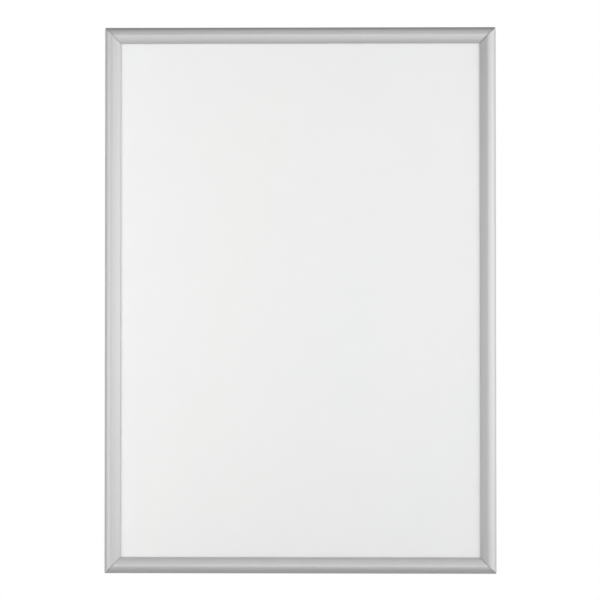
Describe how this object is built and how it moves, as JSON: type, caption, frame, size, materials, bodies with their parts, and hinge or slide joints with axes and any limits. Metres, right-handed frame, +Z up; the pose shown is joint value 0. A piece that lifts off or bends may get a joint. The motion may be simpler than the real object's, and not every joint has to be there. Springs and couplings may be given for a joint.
{
  "type": "poster frame",
  "caption": "Portrait snap-open poster frame: mitred satin aluminium rails that hinge open along their outer edges, over a clear cover sheet and a white back panel.",
  "frame": {"origin": "on the rear face of the top base rail, half way along it, 19 mm below the top edge", "axes": "+Z up along the height, +X to the right seen from the front, the front faces -Y and the wall is the plane Y = 0"},
  "size_m": [0.624, 0.013, 0.871],
  "materials": {
    "satin_aluminium": "satin silver anodised, fine lines along the extrusion",
    "mill_aluminium": "plain extruded",
    "zinc_plated_steel": "dull zinc plate",
    "black_steel": "black oxide",
    "spring_steel": "bright rolled strip",
    "white_styrene": "matt white",
    "clear_sheet": "clear, matt anti-glare face"
  },
  "bodies": {
    "base": {"base_rail_top": "mill_aluminium", "base_rail_bottom": "mill_aluminium", "base_rail_left": "mill_aluminium", "base_rail_right": "mill_aluminium", "corner_key_top_left": "zinc_plated_steel", "corner_key_top_right": "zinc_plated_steel", "corner_key_bottom_left": "zinc_plated_steel", "corner_key_bottom_right": "zinc_plated_steel", "grub_screw_top_left_1": "black_steel", "grub_screw_top_left_2": "black_steel", "grub_screw_top_right_1": "black_steel", "grub_screw_top_right_2": "black_steel", "grub_screw_bottom_left_1": "black_steel", "grub_screw_bottom_left_2": "black_steel", "grub_screw_bottom_right_1": "black_steel", "grub_screw_bottom_right_2": "black_steel", "leaf_spring_top_1": "spring_steel", "leaf_spring_top_2": "spring_steel", "leaf_spring_bottom_1": "spring_steel", "leaf_spring_bottom_2": "spring_steel", "leaf_spring_left_1": "spring_steel", "leaf_spring_left_2": "spring_steel", "leaf_spring_left_3": "spring_steel", "leaf_spring_right_1": "spring_steel", "leaf_spring_right_2": "spring_steel", "leaf_spring_right_3": "spring_steel", "back_panel": "white_styrene", "cover_sheet": "clear_sheet"},
    "top_rail": {"snap_rail_top": "satin_aluminium"},
    "bottom_rail": {"snap_rail_bottom": "satin_aluminium"},
    "left_rail": {"snap_rail_left": "satin_aluminium"},
    "right_rail": {"snap_rail_right": "satin_aluminium"}
  },
  "joints": [
    {"name": "top_rail_hinge", "type": "hinge", "parent": "base", "child": "top_rail", "pos_m": [0, -0.0041, 0.0169], "axis": [-1, 0, 0], "range_deg": [0, 95], "deforming": ["leaf_spring_top_1", "leaf_spring_top_2"]},
    {"name": "bottom_rail_hinge", "type": "hinge", "parent": "base", "child": "bottom_rail", "pos_m": [0, -0.0041, -0.8499], "axis": [1, 0, 0], "range_deg": [0, 95], "deforming": ["leaf_spring_bottom_1", "leaf_spring_bottom_2"]},
    {"name": "left_rail_hinge", "type": "hinge", "parent": "base", "child": "left_rail", "pos_m": [-0.3099, -0.0041, -0.4165], "axis": [0, 0, -1], "range_deg": [0, 95], "deforming": ["leaf_spring_left_1", "leaf_spring_left_2", "leaf_spring_left_3"]},
    {"name": "right_rail_hinge", "type": "hinge", "parent": "base", "child": "right_rail", "pos_m": [0.3099, -0.0041, -0.4165], "axis": [0, 0, 1], "range_deg": [0, 95], "deforming": ["leaf_spring_right_1", "leaf_spring_right_2", "leaf_spring_right_3"]}
  ]
}
